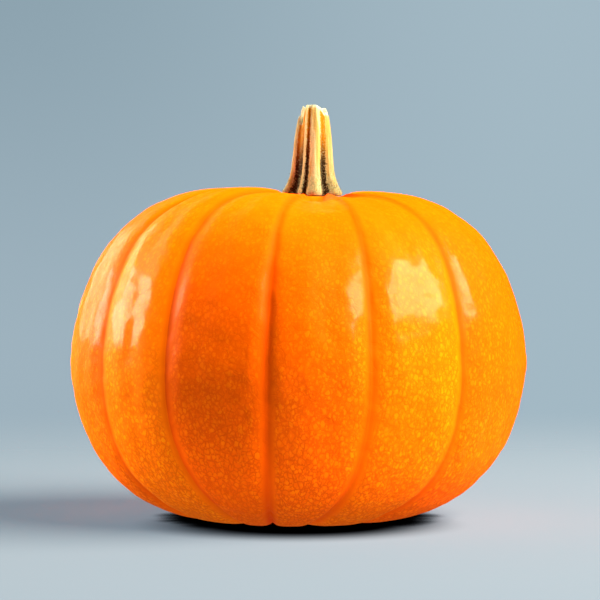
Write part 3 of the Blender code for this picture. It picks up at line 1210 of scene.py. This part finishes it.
class Bristles:
    """Short dry hairs on the lower part of the stem."""

    NAME = "stem_bristles"

    @dataclass(frozen=True)
    class Size:
        """Sizes of the hairs; each is an input of their tree."""

        length: float = 0.0010
        thickness: float = 0.00009
        density: float = 1100000.0
        reach: float = 0.42
        seed: int = 11

    def __init__(self, material: bpy.types.Material, stem: bpy.types.Object) -> None:
        """Grow on a finished stem.

        Args:
            material: The hairs' material.
            stem: The finished stem.
        """
        self.material = material
        self.stem = stem
        self.size = self.Size()

    def build(self) -> bpy.types.Object:
        """Scatter the hairs and hand them to the frame.

        Returns:
            The finished piece.
        """
        growth = Growth("stem_bristles", asdict(self.size), self.material)
        self.wire(growth)
        host = link_piece("bristle_bed", self.stem.data.copy())
        piece = growth.run(host, self.NAME)
        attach(piece, BODY)
        return piece

    def wire(self, growth: Growth) -> None:
        """Scatter points near the foot and set a thin cone on each.

        Args:
            growth: The tree.
        """
        wiring, get = growth.wiring, growth.get
        rise = wiring.use("GeometryNodeInputNamedAttribute", "Attribute", {"data_type": "FLOAT"}, Name="rise")
        thin = wiring.math("MAXIMUM", 1.0 - rise / get("Reach"), 0.0)
        side = wiring.math("GREATER_THAN", rise, 0.004)
        scatter = wiring.node("GeometryNodeDistributePointsOnFaces")
        wiring.feed(scatter.inputs["Mesh"], get("Geometry"))
        wiring.feed(scatter.inputs["Density"], get("Density") * thin * side)
        wiring.feed(scatter.inputs["Seed"], get("Seed"))
        cone = wiring.use(
            "GeometryNodeMeshCone", "Mesh", {"fill_type": "NONE"}, Vertices=4, Side_Segments=2,
            Radius_Top=get("Thickness") * 0.2, Radius_Bottom=get("Thickness"), Depth=get("Length"),
        )
        _, _, height = wiring.parts(wiring.use("GeometryNodeInputPosition"))
        cone = wiring.use(
            "GeometryNodeStoreNamedAttribute", Geometry=cone, Name="along", Value=height / get("Length"),
        )
        tilt = wiring.use(
            "FunctionNodeRandomValue", "Value", {"data_type": "FLOAT_VECTOR"},
            Min=(-0.6, -0.6, -0.2), Max=(0.6, 0.6, 0.9), Seed=get("Seed"),
        )
        lean = wiring.vector_math("ADD", scatter.outputs["Normal"], tilt)
        turn = wiring.use("FunctionNodeAlignRotationToVector", "Rotation", {"axis": "Z"}, Vector=lean)
        length = wiring.node("FunctionNodeRandomValue", data_type="FLOAT")
        numbers = [socket for socket in length.inputs if socket.enabled]
        wiring.feed(numbers[0], 0.4)
        wiring.feed(numbers[1], 1.2)
        scale = next(output for output in length.outputs if output.enabled)
        hairs = wiring.use(
            "GeometryNodeInstanceOnPoints", "Instances", Points=scatter.outputs["Points"], Instance=cone,
            Rotation=turn, Scale=scale,
        )
        growth.finish(hairs)


# ---- studio

@dataclass(frozen=True)
class Panel:
    """Where a softbox hangs, seen from the fruit, and how bright it is."""

    azimuth: float            # degrees
    elevation: float          # degrees
    distance: float
    width: float
    height: float
    radiance: float
    color: tuple
    lights: bool = True       # whether it lights matt surfaces
    shines: bool = True       # whether it shows as a highlight


class Softbox(Enum):
    """The studio's lights."""

    KEY = Panel(74.0, 38.0, 2.40, 2.60, 1.65, 25.5, (1.0, 1.0, 0.68), shines=False)
    RIM = Panel(-124.0, 27.0, 2.60, 3.00, 1.78, 26.0, (1.0, 1.0, 0.60), shines=False)
    KEY_GLINT = Panel(70.0, 37.0, 2.40, 2.30, 1.10, 20.0, (1.0, 0.95, 0.56), lights=False)
    SIDE_GLINT = Panel(-105.0, 17.0, 2.60, 1.20, 1.05, 19.0, (1.0, 0.95, 0.70), lights=False)
    BACK_GLINT = Panel(-136.0, 16.0, 2.60, 1.50, 1.10, 4.6, (1.0, 0.92, 0.62), lights=False)

    def point_from(self, target: Vector) -> bpy.types.Object:
        """Hang this light and turn it to a target.

        Args:
            target: The point that it faces.

        Returns:
            The light's object.
        """
        panel = self.value
        data = bpy.data.lights.new(f"softbox_{self.name.lower()}", "AREA")
        data.shape = "RECTANGLE"
        data.size = panel.width
        data.size_y = panel.height
        data.energy = panel.radiance * panel.width * panel.height * math.pi
        data.color = panel.color
        light = bpy.data.objects.new(data.name, data)
        bpy.context.scene.collection.objects.link(light)
        across, up = math.radians(panel.azimuth), math.radians(panel.elevation)
        away = Vector((math.cos(up) * math.sin(across), -math.cos(up) * math.cos(across), math.sin(up)))
        light.location = target + away * panel.distance
        light.rotation_euler = away.to_track_quat("Z", "Y").to_euler()
        light.visible_camera = False
        light.visible_diffuse = panel.lights
        light.visible_glossy = panel.shines
        return light


@dataclass(frozen=True)
class Studio:
    """A pale floor with a painted shadow under the fruit, fading into a plain blue-grey backdrop, the
    softboxes and the camera.
    """

    floor: tuple = (0.121, 0.119, 0.170)
    floor_glow: tuple = (0.155, 0.250, 0.308)
    sky_left: tuple = (0.262, 0.362, 0.425)
    sky_left_low: tuple = (0.345, 0.448, 0.517)
    sky_right: tuple = (0.370, 0.485, 0.555)
    bounce: tuple = (0.95, 1.0, 1.0)
    bounce_strength: float = 0.5
    horizon: tuple = (0.13, -0.05)            # heights between which the backdrop turns paler
    backdrop_turn: float = 0.12               # how far to either side it turns from left to right
    glow_on_fruit: tuple = (0.740, 0.740, 0.400)
    floor_radius: float = 1.4
    floor_fade: tuple = (0.85, 0.20)          # radii between which it turns clear
    floor_roughness: float = 0.55
    # Painted shadow on the floor: a dark line from occlusion where the fruit touches, and a soft round shade
    # under the fruit, shifted to the front.
    crevice: float = 0.009                    # reach of the dark line where the fruit touches
    shade_middle: float = -0.030
    shade_edge: tuple = (0.036, 0.075)        # where the shade under the fruit starts and ends
    camera_distance: float = 1.1
    camera_height: float = 0.112
    camera_pitch: float = 0.872
    camera_side: float = 0.0006
    focal_length: float = 150.1
    sensor_width: float = 36.0

    def build(self) -> None:
        """Set up the whole studio."""
        self.hang_backdrop()
        low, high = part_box("fruit")
        middle = (Vector(low) + Vector(high)) / 2.0
        lights = {softbox: softbox.point_from(middle) for softbox in Softbox}
        self.lay_floor(lights[Softbox.RIM])
        self.place_camera()
        bpy.context.scene.view_settings.view_transform = "Standard"

    def hang_backdrop(self) -> None:
        """A soft gradient for the camera, and light from below alone for matt surfaces."""
        world = bpy.data.worlds.new("studio")
        world.use_nodes = True
        bpy.context.scene.world = world
        wiring = Wiring(world.node_tree)
        seen = world.node_tree.nodes["Background"]
        x, _, z = wiring.parts(wiring.use("ShaderNodeTexCoord", "Generated"))
        low = wiring.ease(z, *self.horizon)
        left = wiring.blend(low, opaque(self.sky_left), opaque(self.sky_left_low))
        across = wiring.ease(x + z * 0.1, -self.backdrop_turn, self.backdrop_turn)
        wiring.feed(seen.inputs["Color"], wiring.blend(across, left, opaque(self.sky_right)))
        light = wiring.node("ShaderNodeBackground")
        path = wiring.node("ShaderNodeLightPath")
        wiring.feed(light.inputs["Color"], opaque(self.bounce))
        below = wiring.math("LESS_THAN", z, 0.0)
        matt = Field(wiring, path.outputs["Is Diffuse Ray"])
        wiring.feed(light.inputs["Strength"], below * matt * self.bounce_strength)
        mix = wiring.node("ShaderNodeMixShader")
        wiring.feed(mix.inputs[0], path.outputs["Is Camera Ray"])
        wiring.feed(mix.inputs[1], light.outputs[0])
        wiring.feed(mix.inputs[2], seen.outputs[0])
        wiring.feed(world.node_tree.nodes["World Output"].inputs["Surface"], mix.outputs[0])

    def lay_floor(self, rim: bpy.types.Object) -> None:
        """A wide round floor that fades out away from the fruit, with a painted shadow under it.

        Args:
            rim: The light that is kept off the floor, so that it throws no second shadow.
        """
        mesh = bpy.data.meshes.new("floor")
        shape = bmesh.new()
        bmesh.ops.create_circle(shape, cap_ends=True, segments=96, radius=self.floor_radius)
        shape.to_mesh(mesh)
        shape.free()
        material, wiring, shader, place = blank_material("floor")
        # Painted shadow: occlusion where the fruit touches and a soft round patch under it turn the floor's
        # colour and glow black.
        corner = wiring.use("ShaderNodeAmbientOcclusion", "AO", Distance=self.crevice)
        x, y, _ = wiring.parts(place)
        behind = y - self.shade_middle
        from_shade = wiring.math("SQRT", x * x + behind * behind)
        outside_painted_shadow = wiring.ease(corner, 0.15, 0.60) * wiring.ease(from_shade, *self.shade_edge)
        matt = wiring.use("ShaderNodeLightPath", "Is Diffuse Ray")
        painted_shadow_black = opaque((0.0, 0.0, 0.0))
        wiring.feed(shader.inputs["Base Color"], wiring.blend(outside_painted_shadow, painted_shadow_black, opaque(self.floor)))
        seen = wiring.blend(outside_painted_shadow, painted_shadow_black, opaque(self.floor_glow))
        glow = wiring.blend(matt, seen, opaque(self.glow_on_fruit))
        wiring.feed(shader.inputs["Emission Color"], glow)
        shader.inputs["Emission Strength"].default_value = 1.0
        shader.inputs["Roughness"].default_value = self.floor_roughness
        shader.inputs["Specular IOR Level"].default_value = 0.0
        out = wiring.math("SQRT", x * x + y * y)
        wiring.feed(shader.inputs["Alpha"], wiring.ease(out, *self.floor_fade))
        mesh.materials.append(material)
        floor = link_piece("floor", mesh)
        floor.location.z = -0.0002
        floor.visible_glossy = False
        unlit = bpy.data.collections.new("lit_without_the_floor")
        unlit.objects.link(floor)
        unlit.collection_objects[0].light_linking.link_state = "EXCLUDE"
        rim.light_linking.receiver_collection = unlit

    def place_camera(self) -> None:
        """A long lens a little above the fruit's middle."""
        data = bpy.data.cameras.new("camera")
        data.lens = self.focal_length
        data.sensor_width = self.sensor_width
        data.clip_start = 0.01
        camera = bpy.data.objects.new("camera", data)
        bpy.context.scene.collection.objects.link(camera)
        camera.location = (self.camera_side, -self.camera_distance, self.camera_height)
        camera.rotation_euler = (math.radians(90.0 - self.camera_pitch), 0.0, 0.0)
        bpy.context.scene.camera = camera


def main() -> None:
    """Build the studio and every piece, in order."""
    logging.basicConfig(level=logging.INFO, format="%(name)s: %(message)s")
    Studio().build()
    flecks = FleckEffect()
    report(Fruit(RindFinish().make(flecks)).build())
    stem = Stem(StemFinish().make(flecks)).build()
    report(stem)
    report(Bristles(BristleFinish().make(), stem).build())


if __name__ == "__main__":
    main()
